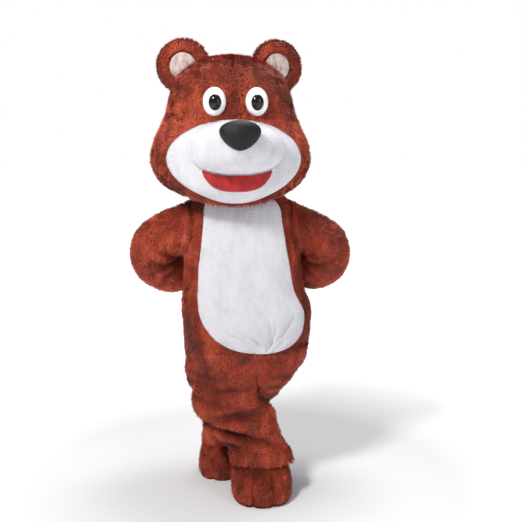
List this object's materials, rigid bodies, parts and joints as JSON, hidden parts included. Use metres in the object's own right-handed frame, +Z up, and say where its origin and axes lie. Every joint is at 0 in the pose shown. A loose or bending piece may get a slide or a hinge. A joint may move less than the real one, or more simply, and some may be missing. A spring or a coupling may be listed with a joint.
{
  "type": "bear mascot costume",
  "caption": "Full plush bear mascot costume, hollow and open inside, held in a hands-behind-hips, crossed-ankle pose, with a lift-off head.",
  "frame": {"origin": "where the wearer's shoulders carry the suit, on the middle line of the costume, 1.24 m above its soles", "axes": "+Z up, +X to the wearer's left, the belly faces -Y"},
  "size_m": [0.9227, 0.7213, 1.852],
  "materials": {
    "brown_fur": "long pile plush, reddish brown",
    "white_plush": "short pile plush, white",
    "pale_plush": "short pile plush, pale pink-grey",
    "black_pad": "satin black",
    "red_felt": "felt, red",
    "eye_white": "gloss white",
    "zip_tape": "woven zip tape, dark brown",
    "zip_metal": "satin metal"
  },
  "bodies": {
    "suit": {"front_left": "brown_fur", "front_right": "brown_fur", "back_left": "brown_fur", "back_right": "brown_fur", "belly": "white_plush", "sleeve_left": "brown_fur", "sleeve_right": "brown_fur", "mitt_left": "brown_fur", "mitt_right": "brown_fur", "leg_left": "brown_fur", "leg_right": "brown_fur", "foot_left": "brown_fur", "foot_right": "brown_fur", "zip_tape": "zip_tape", "zip_slider": "zip_metal"},
    "head": {"hood_left": "brown_fur", "hood_right": "brown_fur", "face_panel": "white_plush", "muzzle": "white_plush", "mouth": "red_felt", "nose": "black_pad", "eye_left": "eye_white", "eye_right": "eye_white", "pupil_left": "black_pad", "pupil_right": "black_pad", "ear_left": "brown_fur", "ear_right": "brown_fur", "inner_ear_left": "pale_plush", "inner_ear_right": "pale_plush"},
    "zip_tab": {"zip_pull": "zip_metal"}
  },
  "joints": [
    {"name": "head_lift", "type": "slide", "parent": "suit", "child": "head", "axis": [0, 0, 1], "range_m": [0, 0.45]},
    {"name": "zip_pull_swing", "type": "hinge", "parent": "suit", "child": "zip_tab", "pos_m": [-0.04114, 0.14237, -0.02874], "axis": [0.9907, 0.0693, 0.117], "range_deg": [0, 150]}
  ]
}
